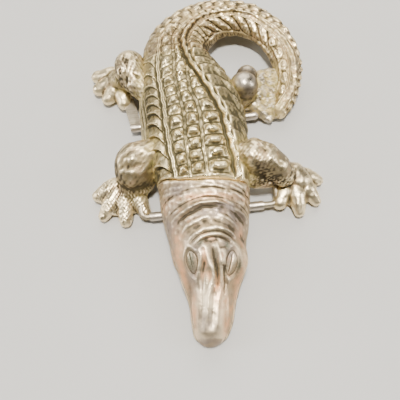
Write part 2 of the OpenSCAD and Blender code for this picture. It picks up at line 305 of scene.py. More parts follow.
def neighbour_means(points, edges, rounds):
    """Points after rounds of smoothing towards their neighbours' mean."""
    count = np.bincount(edges.ravel(), minlength=len(points))[:, None]
    current = points.copy()
    for _ in range(rounds):
        total = np.empty_like(current)
        for axis in range(3):
            column = current[:, axis]
            total[:, axis] = np.bincount(edges[:, 0], column[edges[:, 1]], len(points))
            total[:, axis] += np.bincount(edges[:, 1], column[edges[:, 0]], len(points))
        current = 0.5 * current + 0.5 * total / np.maximum(count, 1)
    return current


def read_array(collection, field, width, kind=np.float64):
    """One field of a mesh's vertices or edges, as rows of width numbers."""
    values = np.empty(len(collection) * width, np.float32 if kind == np.float64 else np.int32)
    collection.foreach_get(field, values)
    return values.astype(kind).reshape(-1, width)


def write_attribute(mesh, name, values):
    """Stores one number for each point of a mesh."""
    attribute = mesh.attributes.get(name) or mesh.attributes.new(name, "FLOAT", "POINT")
    attribute.data.foreach_set("value", np.asarray(values, np.float32))


def mark_hollows(mesh, on_skin=None):
    """Stores two marks: fine and broad hollows are near 1, edges near 0 and flat places 0.5."""
    points = read_array(mesh.vertices, "co", 3) / MM
    edges = read_array(mesh.edges, "vertices", 2, np.int64)
    normals = read_array(mesh.vertex_normals, "vector", 3)
    if on_skin is not None:
        edges = edges[on_skin[edges].all(1)]
    smoothed = points
    for name, rounds, scale in (("fine_hollow", 6, 0.035), ("broad_hollow", 70, 0.22)):
        smoothed = neighbour_means(smoothed, edges, rounds)
        away = ((smoothed - points) * normals).sum(1)
        write_attribute(mesh, name, np.clip(0.5 + away / (2 * scale), 0, 1))


# ---- relief of the back and the tail

# Lines along the back, as (v, w), and the v of each row of scutes. The scutes stand in three columns
# between LEFT_LINE and CREST, parted by COLUMN_12 and COLUMN_23
LEFT_LINE = [
    (34, -6.3), (43, -6.25), (58, -6.2), (65.5, -5.8), (70.5, -5.0), (75, -4.0), (82, -3.2), (86.5, -1.8),
    (91, -0.4), (100, 0),
]
CREST = [
    (34, 8.0), (51.3, 8.05), (54.4, 7.2), (57.8, 6.1), (61, 5.3), (65.2, 4.2), (71, 3.4), (82.7, 3.2),
    (88, 2.8), (92, 2.2), (96, 1.9), (101, 1.7), (107.7, 1.15), (112.7, 1.0), (118.5, 0.6), (124, -0.7),
    (128, -1.3), (134, -1.7), (139, -1.5), (143.5, -0.4), (147, 0),
]
COLUMN_12 = [
    (36.5, -2.9), (42, -2.6), (52, -1.6), (56, -1.95), (60, -2.1), (64, -1.9), (68.7, -1.0), (72, -0.3),
    (76, 0.1), (86, 0.4), (91, 0.6),
]
COLUMN_23 = [
    (35, 0.9), (41, 1.15), (51.7, 2.1), (55, 1.7), (59.4, 0.84), (64.5, 1.4), (68, 2.4), (72, 3.2),
    (91, 3.0),
]
ROWS = [34.6, 37.8, 41, 43.8, 46.7, 50.1, 53.8, 56.9, 60.6, 64.2, 67.4, 70.8, 75, 79.2, 83, 86.3, 89.2, 92]
OUTER_TEETH = [
    (88, 0.2), (96, 0.2), (106, 0.0), (112, -0.5), (117, -1.3), (122, -2.5), (126, -3.5), (130, -4.2),
    (135, -3.8), (140, -3.2), (144, -2.6), (147, -2),
]
LEAF_EDGE = [
    (74, 8.6), (84, 9.0), (91, 8.6), (97, 7.2), (105, 6.6), (113, 6.1), (119, 5.4), (125, 4.3),
    (132, 3.6),
]

# The height of the crest, as (v, height), and the raised ovals by the tail's tip, as (v, w, size)
CREST_SIZE = [(34, 1.35), (70, 1.4), (82, 1.2), (96, 0.6), (110, 0.42), (124, 0.42), (140, 0.45), (147, 0.3)]
OVALS = [(122.6, 2.6, 0.8), (126.9, 2.0, 1.0), (131.4, 1.35, 1.0), (135.6, 1.1, 0.95), (139.5, 1.0, 0.8)]

# The torso's edge over the neck, as (w, v)
LIP = [(-19, 38.4), (-13, 38.2), (-9, 36.8), (-5.8, 35.3), (-2, 34.9), (7.4, 34.8), (12, 35.3), (19, 35.8)]


def torso_start(w):
    """Where the torso ends over the neck."""
    return along(w, LIP)


def one_scute(p, q, height, dish, pointed):
    """A boss on a shallow pad. p and q run from -1 to 1 across and along it, with the tail at q = 1.

    The boss is steep towards the head and gentle towards the tail, and it carries a small knob.
    """
    square = (np.abs(p) ** 5 + np.abs(q) ** 5) ** 0.2
    pad = 0.24 * drop(square, 0.78, 0.98)
    flanks = drop(np.abs(p), 0.15, 0.9)
    boss = 0.8 * height * flanks * smooth(q, -0.8, -0.15) * (1 - 0.8 * smooth(q, -0.05, 0.85))
    round_reach = np.hypot(p * 1.15, q + 0.08)
    pointed_reach = np.abs(p) * 1.1 + np.abs(q + 0.2) * 0.8
    reach = round_reach * (1 - pointed) + pointed_reach * pointed
    curve = 0.26 * height * bell(reach - 0.5, 0.16) * smooth(q, -0.6, 0.05)
    return pad + boss + curve + 0.3 * height * bell(reach, 0.32) - dish * bell(reach, 0.18)


def scutes(v, w):
    """Rows of scutes in three columns between the left line and the crest."""
    tilt = 0.18 * band(v, 52, 60, 68, 74)
    row = np.interp(v - tilt * (w + 1), ROWS, np.arange(len(ROWS)))
    number = np.round(row).astype(int)
    q = 2 * (row - number)
    left, right = along(v, LEFT_LINE) + 0.75, along(v, CREST) - 1.25
    first, second = along(v, COLUMN_12), np.minimum(along(v, COLUMN_23), right)
    rng = np.random.default_rng(5)
    height = rng.uniform(0.7, 1.05, (3, 40))
    dish = rng.uniform(0.0, 0.2, (3, 40))
    shift = rng.uniform(-0.12, 0.12, (2, 3, 40))
    height[:, 1] = 1.15
    total = np.zeros_like(v)
    pointed = smooth(v, 62, 74)
    uneven, uneven_too = waves(14, 1.5, v, w), waves(15, 1.5, v, w)
    edges = [(left, first - 0.25), (first + 0.25, second - 0.25), (second + 0.25, right)]
    for column, (low, high) in enumerate(edges):
        width = high - low
        p = (w - (low + high) / 2) / np.maximum(width / 2, 0.2)
        inside = 1 - np.clip(np.maximum(np.abs(p), np.abs(q)), 0, 1) ** 2
        moved_p = p + (shift[0, column][number] + 0.16 * uneven) * inside
        moved_q = q + (shift[1, column][number] + 0.14 * uneven_too) * inside
        scute = one_scute(moved_p, moved_q, height[column][number], dish[column][number], pointed)
        total += scute * (np.abs(p) < 1.15) * smooth(width, 0.9, 1.6)
    groove = 0
    for line in (first, second):
        groove = groove + 0.08 * (bell(w - line - 0.16, 0.1) + bell(w - line + 0.16, 0.1))
    return (total + groove) * drop(v, 90, 92.5) * (w > left - 0.6) * (w < right + 0.6)


def double_line(v, w):
    """Two thin ridges down the left side of the scutes, fading on the tail."""
    line = along(v, LEFT_LINE) + 0.12 * np.sin(v * 1.7)
    pair = bell(w - line - 0.24, 0.14) + bell(w - line + 0.24, 0.16)
    return 0.3 * pair * drop(v, 76, 90)


def turns(v, pitch):
    """How many pitches fit between the neck and v, where the pitch changes along the spine."""
    steps = np.arange(30, 150, 0.1)
    return np.interp(v, steps, np.cumsum(0.1 / along(steps, pitch)))


def crest_line(v):
    """The w of the serrated ridge."""
    return along(v, CREST) - 0.35 * smooth(v, 36, 54)


def crest_teeth(v, w):
    """The serrated ridge on the right, which goes on as the tail's crest."""
    beat = turns(v, [(34, 3.9), (80, 3.6), (100, 2.7), (147, 2.2)]) % 1
    tooth = 1 - np.abs(2 * beat - 1)
    side = crest_line(v) + 0.3 * (tooth - 0.5) * drop(v, 92, 112) + 0.1 * waves(32, 2.5, v)
    away = w - side
    on_back = drop(v, 80, 96)
    blade = drop(np.abs(away), 0.1, 0.66)
    ridge = on_back * blade + (1 - on_back) * np.where(away > 0, bell(away, 0.42), bell(away, 0.62))
    trench = -0.3 * bell(away + 0.9, 0.28) - 0.2 * bell(away - 0.95, 0.34)
    size = along(v, CREST_SIZE) * (0.8 + 0.3 * smooth(tooth, 0.1, 0.9))
    return size * ridge + trench * drop(v, 84, 92)


def crest_wear_and_painted_light(v, w):
    """Kept bright along the crest, partly by wear and partly as a painted highlight, and below 0 on both
    flanks as painted shade.
    """
    side = crest_line(v)
    right = smooth(w - side, 0.6, 2.2)
    left = smooth(along(v, LEFT_LINE) - w, 0.6, 5)
    # The terms for right and left darken the flanks: painted shade.
    return (1.1 * bell(w - side, 0.42) - 0.55 * right - 0.4 * left) * drop(v, 78, 96)


def outer_teeth(v, w):
    """Small teeth along the tail's outer side, spikier towards its tip."""
    phase = (v / 2.25) % 1
    tooth = band(phase, 0.0, 0.6, 0.66, 1.0)
    size = along(v, [(88, 0), (94, 0.25), (112, 0.4), (122, 0.6), (140, 0.8), (146, 0.3)])
    away = w - along(v, OUTER_TEETH)
    line = 0.16 * bell(away - 0.95, 0.16) * smooth(v, 92, 96)
    return size * (0.45 + 0.8 * tooth) * bell(away, 0.55) + line


def left_lappets(v, w):
    """Overlapping fins down the left flank, and fine lengthwise ridges near the rim."""
    out = along(v, LEFT_LINE) - 0.85 - w
    sweep = 3.9 * (1 - np.exp(-np.clip(out, 0, 9) / 1.3))
    marks = [33, 37.2, 41.6, 45.3, 48.6, 51.6, 54.9, 58.2, 61.5, 65, 69, 73.5, 79, 86]
    phase = np.interp(v - sweep, [m - 3.4 for m in marks], np.arange(len(marks))) % 1
    rise = 0.85 * (1 - phase) ** 1.3 + 0.35 * bell(phase - 0.05, 0.06) - 0.2 * bell(phase - 0.93, 0.08)
    size = along(v, [(34, 1.0), (50, 0.95), (60, 0.6), (68, 0.4), (77, 0)]) * (1 + 0.2 * waves(31, 5, v, w))
    fin = size * rise * band(out, 0, 0.35, 3.6, 5.2)
    fine = 0.2 * np.sin(2 * math.pi * (out - 0.3 * np.sin(v / 2.3)) / 1.5)
    fine = fine * smooth(out, 4.2, 5.2) * drop(v, 66, 76) * smooth(v, 40, 44)
    return fin + fine - 0.24 * bell(out, 0.4) * drop(v, 66, 76)


def right_flank(v, w):
    """Faint arcs beside the crest, and leaf-like scales at the right rim."""
    out = w - along(v, CREST) - 0.7
    beat = turns(v + 0.1 * out ** 2 - 0.4 * out, [(34, 4.4), (60, 4.0), (80, 3.2)]) % 1
    scallop = band(beat, 0.0, 0.7, 0.74, 1.0)
    arcs = 0.36 * scallop * band(out, 0, 0.7, 3.4, 4.8)
    edge = turns(v + 0.5 * out, [(34, 4.6), (60, 4.2), (80, 4.0)]) % 1
    leaf = 0.7 * np.sin(math.pi * edge) ** 0.8 * band(out, 3.6, 5.0, 8.4, 10)
    fade = drop(v, 66, 78)
    scales = arcs * drop(v, 74, 80) + leaf * fade
    return scales * smooth(out, -0.2, 0.3) - 0.2 * bell(out, 0.45) * fade


def tail_leaves(v, w):
    """Oblique leaf-like folds on the tail's inner side, and stacked crescents before them."""
    out = w - along(v, CREST) - 1.15
    edge = along(v, LEAF_EDGE) - along(v, CREST) - 1.15
    phase = turns(v - 1.4 * out, [(60, 3.6), (96, 4.6), (130, 4.4)]) % 1
    fold = 0.95 * np.abs(np.sin(math.pi * phase ** 0.85)) ** 0.45 * (0.75 + 0.25 * phase)
    beat = turns(v + 0.12 * (out - 2.2) ** 2, [(60, 3.2), (100, 3.4)]) % 1
    crescents = 0.5 * band(beat, 0, 0.65, 0.7, 1)
    in_band = band(out, 0, 0.45, edge - 0.7, edge + 0.15)
    leafy = band(v, 90, 95, 120, 125)
    stacked = band(v, 70, 75, 89, 94)
    rim = 0.34 * smooth(out, edge - 0.2, edge + 0.6) * band(v, 84, 92, 124, 130)
    line = 0.28 * bell(out, 0.17) * smooth(v, 92, 96)
    return in_band * (fold * leafy + crescents * stacked - 0.5 * leafy) + rim + line


def tail_plates(v, w):
    """Staggered scales on the outer side of the tail."""
    out = along(v, OUTER_TEETH) - 0.9 - w
    row = out / 2.5
    beat = (turns(v, [(60, 3.6), (100, 3.2), (147, 2.6)]) + 0.5 * (np.floor(row) % 2)) % 1
    aside = 2 * (row % 1) - 1
    curve = smooth(beat - 0.12 * aside ** 2, 0.0, 0.7) * drop(beat, 0.76, 1.0)
    plate = 0.42 * curve * (1 - np.abs(aside) ** 5)
    return plate * band(v, 78, 88, 138, 145) * band(out, 0, 0.6, 9, 11)


def tail_ovals(v, w):
    """A row of raised oval rings near the tail's tip, and a rough band beside them."""
    total = np.zeros_like(v)
    for middle, side, size in OVALS:
        ring = np.hypot((v - middle) / (1.95 * size), (w - side) / (1.25 * size))
        total += 0.42 * drop(ring, 0.55, 1.15) - 0.1 * bell(ring - 0.5, 0.18)
    inner = along(v, CREST) + 1.3
    total += 0.3 * bell(w - inner - 2.7, 0.3) * band(v, 121, 125, 141, 143)
    return total


def wear(v, w):
    """Uneven cast surface: broad dents, small lumps and fine pits."""
    return 0.1 * waves(11, 3.4, v, w) + 0.055 * waves(12, 0.9, v, w) + 0.03 * waves(13, 0.45, v, w)


def body_relief(v, w):
    """Height of the cast skin over the plain body, from the neck's lip to the tail's tip."""
    past_lip = v - torso_start(w)
    lip = 0.45 - 1.9 * drop(past_lip, -0.05, 0.75)
    blend = drop(v, 42, 60)
    rims = blend * smooth(w, 9, 14) + smooth(-w, 8, 12) * drop(v, 76, 90)
    base = 0.05 + blend * (lip - 0.05) - 0.5 * rims
    details = (scutes, double_line, crest_teeth, outer_teeth, left_lappets, right_flank)
    tail_details = (tail_leaves, tail_ovals, tail_plates)
    detail = sum(part(v, w) for part in details + tail_details)
    detail = detail * smooth(past_lip, 0.1, 0.9) * drop(v, TIP_V - 1.2, TIP_V)
    boss = 0.35 * bell(v - TIP_V, 1.4)
    return base + detail + boss + wear(v, w)


# ---- relief of the head and the neck

# Folds round the back of the skull, as (v at the crest, height, width)
NECK_FOLDS = [
    (33.1, -0.24, 0.3), (32.2, 0.14, 0.5), (30.7, -0.18, 0.25), (29.3, 0.42, 0.4), (28.3, -0.42, 0.45),
    (26.2, 0.4, 0.55), (24.9, -0.26, 0.6), (23.7, 0.36, 0.42), (22.85, -0.26, 0.22), (22.1, 0.2, 0.32),
    (21.4, -0.22, 0.3),
]
# The fold lines' radius, as (v, radius)
FOLD_RADII = [(20, 6.2), (21.8, 6.6), (23.6, 7.6), (26.35, 9.8), (28, 12.5), (29.5, 16), (31, 23), (34.5, 70)]
# Ridges and grooves of the skull and the snout, as (height, width, line of (v, w))
SKULL_LINES = [
    (-0.4, 0.7, [(21.2, -1.0), (20.7, 0.4), (20.7, 1.4), (21.1, 2.6)]),
    (0.4, 0.75, [(20.6, -1.6), (19.4, -0.6), (17.0, -0.2), (14.0, 0.4)]),
    (0.36, 0.45, [(16.5, 0.6), (13.5, 0.8), (9.5, -0.3), (2.4, -0.8)]),
    (-0.42, 0.42, [(20.2, 0.75), (17.0, 1.1), (15.0, 1.7), (12.6, 1.9), (9.6, 1.6)]),
    (0.3, 0.4, [(20.2, 2.0), (17.0, 2.4), (13.5, 2.6), (9.0, 2.2)]),
    (-0.4, 0.42, [(16.2, 3.2), (14.0, 3.5), (12.2, 3.8), (10.0, 3.4)]),
    (-0.26, 0.5, [(17.2, -0.9), (14.0, -1.5), (9.8, -1.8)]),
    (0.42, 0.75, [(20.2, -2.6), (18.4, -1.8), (16.6, -1.7), (14.4, -2.4)]),
    (0.5, 0.85, [(19.2, 3.0), (17.6, 3.2), (15.6, 3.0)]),
    (0.16, 0.4, [(10.6, -2.6), (2.9, -2.9)]),
    (0.16, 0.4, [(11.0, 2.0), (2.8, 1.6)]),
    (0.12, 0.45, [(9.6, -5.0), (3.5, -4.7)]),
    (0.12, 0.45, [(10.4, 4.6), (3.5, 4.2)]),
    (-0.14, 0.45, [(10.5, -1.6), (3.0, -1.9)]),
    (-0.14, 0.45, [(10.8, 0.8), (3.0, 0.5)]),
    (-0.4, 0.3, [(19.0, -11.2), (12.5, -8.6), (8.0, -7.3), (4.2, -6.3), (1.4, -5.2)]),
    (-0.4, 0.3, [(19.0, 11.2), (12.5, 8.6), (8.0, 7.3), (4.2, 6.3), (1.4, 5.2)]),
]
# Brows, cheeks and hollows of the head, as (height, v, reach along v, w, reach along w)
HEAD_BOSSES = [
    (0.9, 17.4, 2.4, 8.9, 2.4), (0.35, 17.4, 2.4, -8.4, 2.4), (-0.5, 21.8, 1.5, 10.2, 2.4),
    (0.5, 26.5, 3.2, 11.5, 3.4), (0.35, 27, 3, -10, 3), (-0.35, 11.5, 2.8, 5.8, 2.2),
    (-0.35, 11.5, 2.8, -5.6, 2.2),
]


def fold_place(v, w):
    """The v at the crest of the fold line through (v, w). The lines are arcs round the back of the skull."""
    place = v + 0.0
    for _ in range(14):
        radius = along(place, FOLD_RADII)
        beside = np.clip(np.abs(w - 1.3), 0, 0.86 * radius)
        place = 0.6 * place + 0.4 * (v + radius - np.sqrt(radius ** 2 - beside ** 2))
    return place


def neck_folds(v, w):
    """Folds of loose skin and fine grain behind the skull."""
    place = fold_place(v + 0.2 * waves(41, 4, v, w), w)
    total = np.zeros_like(v)
    for middle, height, width in NECK_FOLDS:
        total += height * bell(place - middle, width)
    total = total * (0.8 + 0.35 * waves(43, 3.5, v, w))
    grain = 0.07 * waves(42, 0.8, 2.2 * place, 0.5 * w) * smooth(place, 24, 27)
    grain = grain + 0.06 * waves(44, 1.3, v, w)
    reach = along(v, [(15, 2), (19, 3.8), (22, 7), (25, 10.5), (28, 14), (30, 20)])
    fade = drop(np.abs(w - 1.2), 0.45 * reach, reach)
    return (total + grain) * fade * smooth(place, 20.6, 21.6)


def eye(v, w, front, back, half_width):
    """An almond-shaped socket with a raised lid and a ball in it. front and back are (v, w) corners."""
    (v0, w0), (v1, w1) = front, back
    length = math.hypot(v1 - v0, w1 - w0) / 2
    ax, aw = (v1 - v0) / (2 * length), (w1 - w0) / (2 * length)
    dv, dw = v - (v0 + v1) / 2, w - (w0 + w1) / 2
    lengthwise, sideways = (dv * ax + dw * aw) / length, (dw * ax - dv * aw) / half_width
    lens = np.sqrt(lengthwise ** 2 + sideways ** 2 * (1 + 0.6 * lengthwise ** 2))
    socket = -0.36 * drop(lens, 0.5, 1.15)
    ball = 0.4 * np.sqrt(np.clip(1 - (lens / 0.75) ** 2, 0, 1))
    slit = -0.22 * bell(sideways + 0.1, 0.12) * drop(lens, 0.4, 0.8)
    lid = 0.08 * bell(lens - 1.2, 0.3)
    return socket + ball + slit + lid


def head_relief(v, w):
    """Height of the head's skin over the plain body: folds, eyes, brow, cheeks and snout."""
    total = -1.0 * smooth(v - torso_start(w), -0.1, 0.8)
    for height, width, line in SKULL_LINES:
        total += height * stroke(v, w, line, width)
    for height, middle, long_reach, side, wide_reach in HEAD_BOSSES:
        total += height * bell(v - middle, long_reach) * bell(w - side, wide_reach)
    total += neck_folds(v, w)
    total += eye(v, w, (13.6, -3.4), (20.0, -4.6), 1.75)
    total += eye(v, w, (13.2, 4.3), (19.4, 5.8), 1.6)
    total += 0.55 * smooth(w, 3.5, 7.5) * band(v, 1, 5, 19, 24)
    total += 0.07 * waves(21, 3.2, v, w) + 0.03 * waves(22, 1.1, v, w)
    return total + 0.04 * smooth(v, 19, 26) * waves(23, 0.7, v, w)


# ---- legs

def round_bead(rings, turns_round):
    """Points and faces of a bead of radius 1."""
    polar = math.pi * np.arange(1, rings) / rings
    turn = 2 * math.pi * np.arange(turns_round) / turns_round
    across = [np.outer(np.sin(polar), way).ravel() for way in (np.cos(turn), np.sin(turn))]
    points = np.column_stack([*across, np.repeat(np.cos(polar), turns_round)])
    points = np.vstack([points, [[0, 0, 1], [0, 0, -1]]])
    top, bottom = len(points) - 2, len(points) - 1
    faces, last = [], (rings - 2) * turns_round
    for k in range(turns_round):
        after = (k + 1) % turns_round
        faces.append([top, k, after])
        faces.append([bottom, last + after, last + k])
        for a in range(0, last, turns_round):
            faces.append([a + k, a + turns_round + k, a + turns_round + after, a + after])
    return points, faces


BEAD_POINTS, BEAD_FACES = round_bead(18, 36)
# How closely beads follow each other, and how their common skin is meshed and softened
BEAD_STEP = 0.45
VOXEL = 0.2
SOFTEN_ROUNDS = 6


def bead(points, faces, centre, radius, flat):
    """Adds one round bead to a list of points and faces, squashed in height by flat."""
    start = len(points)
    points.extend((BEAD_POINTS * [radius, radius, radius * flat] + centre).tolist())
    faces.extend([[start + corner for corner in face] for face in BEAD_FACES])


def strand(points, faces, path):
    """Adds beads along a path of (x, y, z, radius, flat) places, close enough to merge into a limb."""
    for here, there in zip(path, path[1:]):
        here, there = np.array(here, float), np.array(there, float)
        count = max(2, int(np.linalg.norm(there[:3] - here[:3]) / BEAD_STEP))
        for k in range(count + 1):
            place = here + (there - here) * k / count
            bead(points, faces, place[:3], place[3], place[4])


def merged(points, faces):
    """One closed skin around overlapping beads, as points and faces."""
    mesh = bpy.data.meshes.new("beads")
    mesh.from_pydata((np.array(points) * MM).tolist(), [], faces)
    obj = add_object("beads", mesh)
    remesh = obj.modifiers.new("skin", "REMESH")
    remesh.mode = "VOXEL"
    remesh.voxel_size = VOXEL * MM
    done = bpy.data.meshes.new_from_object(obj.evaluated_get(bpy.context.evaluated_depsgraph_get()))
    bpy.data.objects.remove(obj)
    skin = read_array(done.vertices, "co", 3) / MM
    edges = read_array(done.edges, "vertices", 2, np.int64)
    quads = [list(p.vertices) for p in done.polygons]
    bpy.data.meshes.remove(done)
    bpy.data.meshes.remove(mesh)
    return neighbour_means(skin, edges, SOFTEN_ROUNDS), quads


def skin_normals(points, quads):
    """Normals of a skin of quads and triangles at its points."""
    total = np.zeros_like(points)
    four = np.array([q if len(q) == 4 else q + q[-1:] for q in quads])
    a, b, c, d = (points[four[:, k]] for k in range(4))
    face = np.cross(c - a, d - b)
    for k in range(4):
        for axis in range(3):
            total[:, axis] += np.bincount(four[:, k], face[:, axis], len(points))
    return total / np.maximum(np.linalg.norm(total, axis=1), 1e-9)[:, None]


def cut_flat(points):
    """Presses everything under the resting surface up onto it."""
    points[:, 2] = np.maximum(points[:, 2], FEET_Z)
    return points


def towards(base, tip, stop):
    """The way from base to tip on the floor, ending stop short of tip."""
    base, tip = np.array(base[:2], float), np.array(tip[:2], float)
    return base, tip - (tip - base) / np.linalg.norm(tip - base) * stop


def toe_path(base, tip):
    """A toe from its base, (x, y, radius), to its blunt tip, (x, y, radius)."""
    start, end = towards(base, tip, tip[2])
    places = []
    for part, z in ((0, 2.4), (0.4, 2.4), (0.72, 2.0), (1, tip[2] + 0.1)):
        x, y = start + part * (end - start)
        radius = base[2] + (tip[2] - base[2]) * part ** 1.5
        places.append((x, y, z, radius, 0.94))
    return places


def web_path(toe_a, toe_b, notch):
    """The web between two toes, from between their bases to the notch at its edge."""
    base = (np.array(toe_a[0]) + toe_b[0]) / 2
    start, end = towards(base, notch, 1.2)
    return [(*start, 2.3, base[2] * 0.95, 0.94), (*end, 1.7, 1.3, 1)]


def lumps(seed, points, size):
    """An uneven hammered surface with lumps of several sizes."""
    x, y, z = points.T
    bend = 0.5 * size * waves(seed, size * 2, x, y, z)
    coarse = waves(seed + 1, size, x + bend, y - bend, z)
    middle = waves(seed + 2, size * 0.5, x, y + bend, z)
    fine = waves(seed + 3, size * 0.27, x, y, z)
    return 0.55 * coarse + 0.3 * middle + 0.18 * fine


def front_left_relief(points, top, low):
    """Rings round the knee, and small scales on the foot."""
    x, y, z = points.T
    away = np.hypot(x + 16.9, (y + 4.4) * 1.15) + 0.8 * waves(51, 3.4, x, y, z)
    rings = 0.14 * np.sin(2 * math.pi * away / 3.0) * drop(away, 3.2, 5.0)
    bent_x = x + 0.4 * waves(54, 1.5, x, y, z)
    scales = 0.09 * np.sin(2 * math.pi * bent_x / 0.95) * np.sin(2 * math.pi * y / 1.15)
    return top * (rings + 0.2 * lumps(52, points, 2.4)) + low * (0.7 * scales + 0.12 * lumps(53, points, 1.3))


def front_right_relief(points, top, low):
    """A rough ridge along the arm, and nuggets under it."""
    x, y, z = points.T
    ridge = smooth(z, 7.4, 9.6) * drop(x, 15, 17.5)
    nuggets = band(z, 5.6, 6.6, 8.2, 9.4) * drop(y, -8.6, -7.0)
    rough = 0.18 * ridge * lumps(61, points, 1.8) + 0.34 * nuggets * lumps(62, points, 1.4)
    return rough + 0.16 * top * lumps(64, points, 2.6) + 0.07 * low * lumps(63, points, 1.6)


def rear_left_relief(points, top, low):
    """A pitted thigh, with a smooth knee."""
    x, y, z = points.T
    pits = smooth(waves(71, 1.1, x, y, z), 0.1, 1.0)
    pitted = drop(y, 27.0, 29.5)
    thigh = top * pitted * (0.2 * lumps(72, points, 1.5) - 0.22 * pits)
    return thigh + 0.07 * low * lumps(73, points, 1.6)


def rear_right_relief(points, top, low):
    """A polished knee with fine pits round it, and a rough web."""
    x, y, z = points.T
    pits = smooth(waves(81, 0.6, x, y, z), 0.3, 0.9) * drop(z, 8, 10.5)
    on_web = low * smooth(x, 14.5, 16.5)
    return 0.03 * lumps(82, points, 2.4) - 0.06 * top * pits + 0.26 * on_web * lumps(83, points, 1.4)


# Each leg's limbs as paths of (x, y, z, radius, flat), its toes as (base, tip), the notches between them,
# and stains where yellow dirt has stayed, as (x, y, z, reach)
LEGS = {
    "leg_front_left": {
        "limbs": [
            [(-11.5, -1.0, 9.6, 3.6, 1), (-16.6, -2.9, 8.2, 5.3, 1), (-16.8, -4.0, 7.4, 5.3, 1)],
            [(-16.8, -5.0, 5.0, 4.7, 1), (-18.6, -7.0, 3.2, 3.6, 0.85)],
            [(-17.0, -6.4, 3.4, 3.2, 1), (-18.0, -8.4, 2.6, 2.8, 0.9)],
        ],
        "toes": [((-22.8, -5.8, 2.7), (-28.9, -8.0, 1.7)), ((-22.2, -7.4, 2.6), (-27.0, -14.2, 1.35)),
                 ((-20.4, -8.2, 2.6), (-20.8, -16.6, 1.5)), ((-18.0, -8.2, 2.6), (-15.3, -14.6, 1.6))],
        "notches": [(-26.7, -9.4), (-23.4, -13.1), (-18.3, -12.9)],
        "stains": [(-14, -5, 6, 3.2), (-15.0, -8.5, 3, 2.6), (-17.5, -8, 3, 2.4), (-12, -1, 9, 2.5)],
        "relief": front_left_relief,
    },
    "leg_front_right": {
        "limbs": [
            [(9.2, -4.6, 9.0, 4.0, 1), (12.0, -5.4, 9.6, 4.4, 1), (14.4, -6.2, 9.4, 4.2, 1),
             (17.0, -7.8, 8.2, 3.5, 1), (18.6, -9.6, 6.4, 2.7, 1)],
            [(9.6, -7.6, 6.2, 3.5, 1), (12.4, -8.4, 5.8, 3.3, 1), (15.0, -8.8, 5.4, 2.8, 1)],
            [(19.4, -7.6, 3.6, 3.2, 1), (21.6, -8.0, 3.0, 3.5, 0.95), (23.0, -9.6, 2.6, 3.3, 0.95)],
        ],
        "toes": [((23.0, -7.8, 2.6), (29.3, -9.7, 1.35)), ((23.2, -9.6, 2.6), (27.1, -16.0, 1.3)),
                 ((21.8, -10.6, 2.6), (21.9, -18.7, 1.35)), ((19.6, -10.6, 2.3), (16.5, -16.2, 1.95))],
        "notches": [(27.0, -12.0), (24.1, -15.0), (19.7, -15.2)],
        "stains": [(9.5, -3, 9, 2.8), (9.5, -7.6, 7, 2.4), (17.2, -11, 3, 2), (11.5, -1, 7, 2.5)],
        "relief": front_right_relief,
    },
    "leg_rear_left": {
        "limbs": [
            [(-9.5, 15.6, 8.6, 2.2, 1), (-13.4, 18.6, 8.6, 2.9, 1), (-15.4, 22.0, 8.8, 3.7, 1),
             (-16.7, 25.0, 9.0, 4.25, 1), (-17.1, 27.4, 9.0, 4.2, 1)],
            [(-17.6, 25.6, 6.0, 3.6, 1), (-20.8, 27.0, 3.6, 3.2, 0.9), (-21.8, 28.0, 3.0, 3.0, 0.9)],
        ],
        "toes": [((-21.5, 30.2, 2.9), (-29.3, 31.0, 1.9)), ((-22.0, 28.0, 2.9), (-28.9, 25.8, 1.9)),
                 ((-21.6, 26.2, 2.8), (-25.8, 21.4, 1.8)), ((-20.4, 25.0, 2.7), (-19.9, 18.6, 1.9))],
        "notches": [(-27.4, 29.2), (-25.4, 24.2), (-21.6, 22.3)],
        "stains": [(-20.5, 26.5, 5, 3), (-15.5, 21.5, 3, 3.6), (-19, 23, 3, 2.6), (-11, 17, 8, 3)],
        "relief": rear_left_relief,
    },
    "leg_rear_right": {
        "limbs": [
            [(7.4, 16.5, 5.8, 2.6, 1), (10.6, 17.0, 6.2, 2.9, 1)],
            [(12.6, 17.4, 8.0, 3.8, 1), (12.65, 17.5, 8.0, 3.8, 1)],
            [(12.8, 18.4, 7.6, 3.2, 1), (13.9, 20.9, 7.8, 2.85, 1)],
            [(11.9, 17.2, 5.6, 3.9, 1), (12.8, 17.8, 3.0, 3.4, 1)],
            [(9.4, 14.4, 2.8, 0.7, 1), (15.0, 14.0, 2.4, 0.8, 1), (17.0, 12.0, 2.2, 0.7, 1),
             (19.0, 10.1, 1.8, 0.6, 1)],
            [(16.4, 22.6, 2.4, 2.1, 0.95), (16.2, 14.6, 2.0, 1.8, 0.95)],
            [(18.6, 24.4, 2.3, 2.2, 0.95), (18.6, 12.6, 1.9, 1.9, 0.95)],
            [(20.8, 24.8, 2.3, 2.2, 0.95), (20.4, 12.4, 1.9, 1.9, 0.95)],
            [(22.6, 24.4, 2.3, 2.2, 0.95), (22.0, 14.6, 1.9, 1.9, 0.95)],
        ],
        "toes": [((14.8, 19.8, 2.7), (21.6, 26.6, 1.9)), ((14.8, 17.6, 2.7), (24.4, 20.2, 2.0)),
                 ((14.2, 16.4, 2.4), (19.6, 10.0, 1.4))],
        "notches": [],
        "stains": [(10.2, 16, 5, 3), (13, 14.2, 2, 3.6), (17.5, 23.5, 4, 3.5), (19, 18.5, 4, 4),
                   (18, 14, 3, 4), (22, 20.5, 4, 3.6), (21.5, 15, 3, 4)],
        "relief": rear_right_relief,
    },
}


